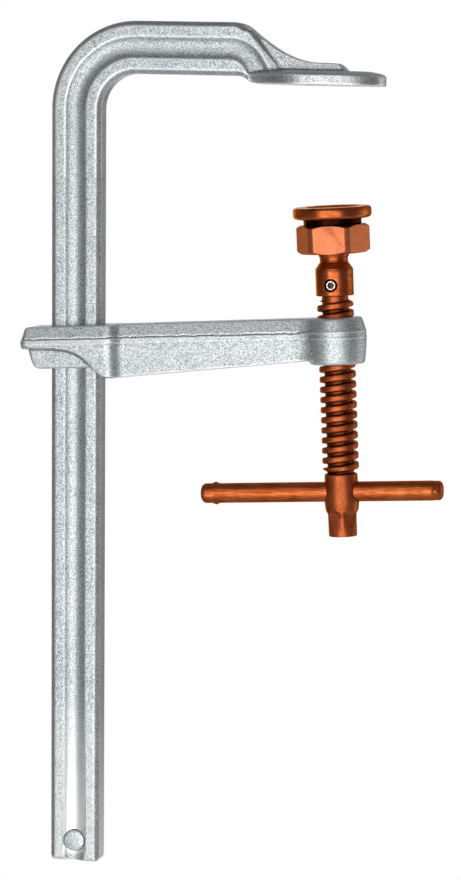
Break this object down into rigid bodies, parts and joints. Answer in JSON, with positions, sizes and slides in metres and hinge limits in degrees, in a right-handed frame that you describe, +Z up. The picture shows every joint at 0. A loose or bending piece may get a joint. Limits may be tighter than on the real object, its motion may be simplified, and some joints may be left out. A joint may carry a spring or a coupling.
{
  "type": "f clamp",
  "caption": "All-steel F clamp: forged grooved rail with a fixed jaw, a sliding arm, and a copper-plated screw with a tommy bar and a swivel pad.",
  "frame": {"origin": "middle of the fixed jaw's clamping face, where the axis of the screw meets it", "axes": "+Z up along the rail towards the jaw, +X from the rail towards the screw, -Y out of one wide face of the rail"},
  "size_m": [0.2139, 0.0387, 0.4245],
  "materials": {
    "forged_steel": "drop forged, shot blasted and bright zinc plated",
    "rivet_steel": "pressed flush and zinc plated with the rail",
    "copper_plated_steel": "turned or forged steel with a burnished copper plate that sheds weld spatter",
    "bright_steel": "machined set screw under thin clear zinc"
  },
  "bodies": {
    "rail": {"rail_with_fixed_jaw": "forged_steel", "end_stop_rivet": "rivet_steel"},
    "arm": {"sliding_arm": "forged_steel"},
    "stud": {"pad_stud": "copper_plated_steel", "pad_set_screw": "bright_steel"},
    "screw": {"spindle": "copper_plated_steel"},
    "handle": {"tommy_bar": "copper_plated_steel"},
    "pad_nut": {"pad_union_nut": "copper_plated_steel"},
    "pad_plate": {"pressure_plate": "copper_plated_steel"}
  },
  "joints": [
    {"name": "arm_slide", "type": "slide", "parent": "rail", "child": "arm", "axis": [0, 0, -1], "range_m": [-0.055, 0.236]},
    {"name": "spindle_feed", "type": "slide", "parent": "arm", "child": "stud", "axis": [-0.0462, 0, 0.9989], "range_m": [-0.0101, 0.0521]},
    {"name": "spindle_spin", "type": "hinge", "parent": "stud", "child": "screw", "pos_m": [0, 0, 0], "axis": [-0.0462, 0, 0.9989], "range_deg": [-720, 3744]},
    {"name": "tommy_slide", "type": "slide", "parent": "screw", "child": "handle", "axis": [0.9983, 0.0349, 0.0462], "range_m": [-0.038, 0.053]},
    {"name": "pad_tilt", "type": "hinge", "parent": "stud", "child": "pad_nut", "pos_m": [0.00335, 0, -0.07242], "axis": [0, 1, 0], "range_deg": [-10, 10]},
    {"name": "pad_swivel", "type": "hinge", "parent": "pad_nut", "child": "pad_plate", "pos_m": [0.00335, 0, -0.07242], "axis": [-0.0462, -0.0349, 0.9983], "continuous": true}
  ],
  "couplings": [
    {"joint": "spindle_feed", "follows": "spindle_spin", "m_per_rad": 0.00079577}
  ]
}
